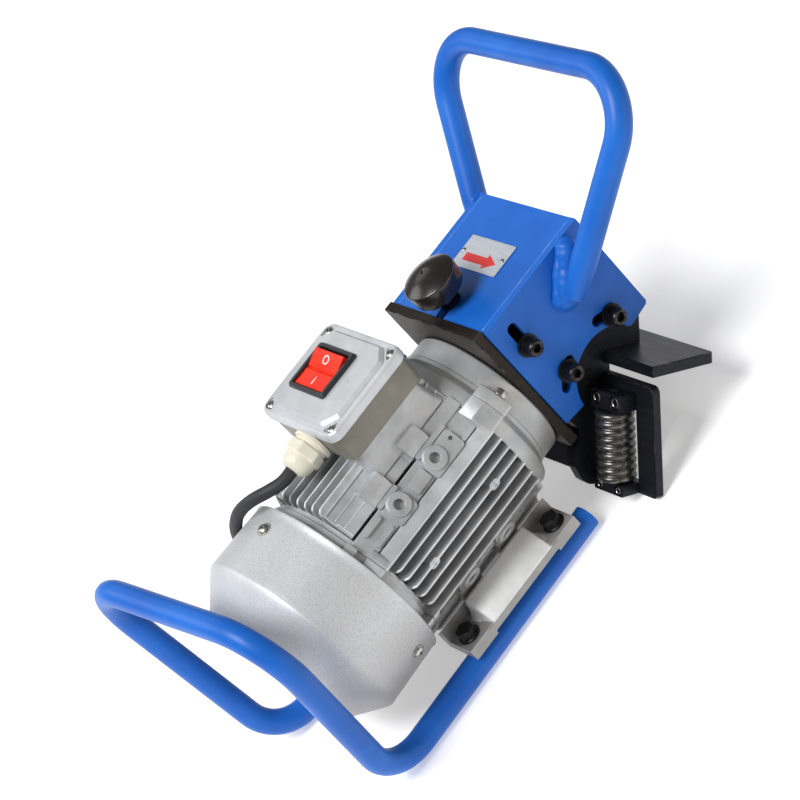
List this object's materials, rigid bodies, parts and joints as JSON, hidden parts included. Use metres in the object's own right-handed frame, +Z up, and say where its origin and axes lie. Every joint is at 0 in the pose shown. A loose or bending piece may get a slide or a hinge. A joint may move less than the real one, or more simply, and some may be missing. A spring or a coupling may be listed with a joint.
{
  "type": "portable plate-edge chamfering machine",
  "caption": "Electric plate-edge chamfering machine: flange motor on a bent-tube skid, sliding head box with handle, lift knob and a tilting roller-led V guide.",
  "frame": {"origin": "middle of the footprint without the lead, on the floor under the bent-tube skid", "axes": "+X along the motor axis from the fan to the head, +Y to the left seen from behind the fan, +Z up"},
  "size_m": [0.4902, 0.3356, 0.2624],
  "materials": {
    "blue_paint": "gloss paint",
    "cast_aluminium": "as cast, lightly painted",
    "cover_paint": "silver hammer paint",
    "black_oxide": "black oxide",
    "browned_steel": "browned, milled",
    "oiled_steel": "oiled",
    "bright_steel": "ground",
    "core_steel": "stacked sheets",
    "copper": "varnished copper wire",
    "black_plastic": "moulded",
    "red_plastic": "moulded",
    "cream_nylon": "moulded",
    "cord_rubber": "matt sheath",
    "label_metal": "printed sheet"
  },
  "bodies": {
    "motor": {"motor_housing": "cast_aluminium", "front_end_shield": "cast_aluminium", "rear_end_shield": "cast_aluminium", "front_bearing": "bright_steel", "rear_bearing": "bright_steel", "stator_core": "core_steel", "front_winding": "copper", "rear_winding": "copper", "fan_cover": "cover_paint", "terminal_box": "cast_aluminium", "terminal_lid": "cast_aluminium", "switch_bezel": "black_plastic", "gland_body": "cream_nylon", "gland_nut": "cream_nylon", "foot_right": "cast_aluminium", "foot_left": "cast_aluminium", "foot_bolt_front_right": "black_oxide", "foot_bolt_rear_right": "black_oxide", "foot_bolt_front_left": "black_oxide", "foot_bolt_rear_left": "black_oxide", "skid_frame": "blue_paint", "flange_plate": "browned_steel", "lift_block": "black_oxide", "lift_screw_right": "black_oxide", "lift_screw_left": "black_oxide", "mains_cord": "cord_rubber", "mains_cord_coil": "cord_rubber", "mains_plug": "black_plastic"},
    "spindle": {"motor_shaft": "bright_steel", "rotor_core": "core_steel", "cooling_fan": "black_plastic", "cutter_arbor": "bright_steel", "arbor_bolt": "black_oxide", "cutter_head": "oiled_steel"},
    "rocker": {"switch_rocker": "red_plastic"},
    "head": {"side_plate_right": "blue_paint", "side_plate_left": "blue_paint", "top_plate": "blue_paint", "front_plate": "blue_paint", "direction_plate": "label_metal", "front_handle": "blue_paint"},
    "knob": {"lift_knob": "black_plastic", "lift_stud": "black_oxide"},
    "guide": {"upper_fence": "black_oxide", "lower_fence": "black_oxide", "guide_bracket_right": "black_oxide", "guide_bracket_left": "black_oxide", "guide_screw_rear_right": "black_oxide", "guide_screw_front_right": "black_oxide", "guide_screw_rear_left": "black_oxide", "guide_screw_front_left": "black_oxide", "roller_block_top_right": "black_oxide", "roller_block_bottom_right": "black_oxide", "roller_block_top_left": "black_oxide", "roller_block_bottom_left": "black_oxide", "roller_pin_right": "bright_steel", "roller_pin_left": "bright_steel"},
    "roller_right": {"guide_roller_right": "oiled_steel"},
    "roller_left": {"guide_roller_left": "oiled_steel"}
  },
  "joints": [
    {"name": "spindle_turn", "type": "hinge", "parent": "motor", "child": "spindle", "pos_m": [0.04707, 0.00295, 0.10033], "axis": [1, 0, 0], "continuous": true},
    {"name": "head_lift", "type": "slide", "parent": "motor", "child": "head", "axis": [0, 0, 1], "range_m": [-0.009, 0.005]},
    {"name": "knob_turn", "type": "hinge", "parent": "head", "child": "knob", "pos_m": [0.07107, 0.00295, 0.19033], "axis": [0, 0, 1], "range_deg": [-2160, 1200]},
    {"name": "guide_tilt", "type": "hinge", "parent": "head", "child": "guide", "pos_m": [0.10757, 0.00295, 0.06483], "axis": [0, -1, 0], "range_deg": [-3, 16]},
    {"name": "rocker_press", "type": "hinge", "parent": "motor", "child": "rocker", "pos_m": [-0.02893, 0.00995, 0.21433], "axis": [0, 1, 0], "range_deg": [0, 18]},
    {"name": "roller_right_turn", "type": "hinge", "parent": "guide", "child": "roller_right", "pos_m": [0.06828, -0.06855, 0.03673], "axis": [0.6428, 0, 0.766], "continuous": true},
    {"name": "roller_left_turn", "type": "hinge", "parent": "guide", "child": "roller_left", "pos_m": [0.06828, 0.07445, 0.03673], "axis": [0.6428, 0, 0.766], "continuous": true}
  ],
  "couplings": [
    {"joint": "knob_turn", "follows": "head_lift", "rad_per_m": 4188.8}
  ]
}
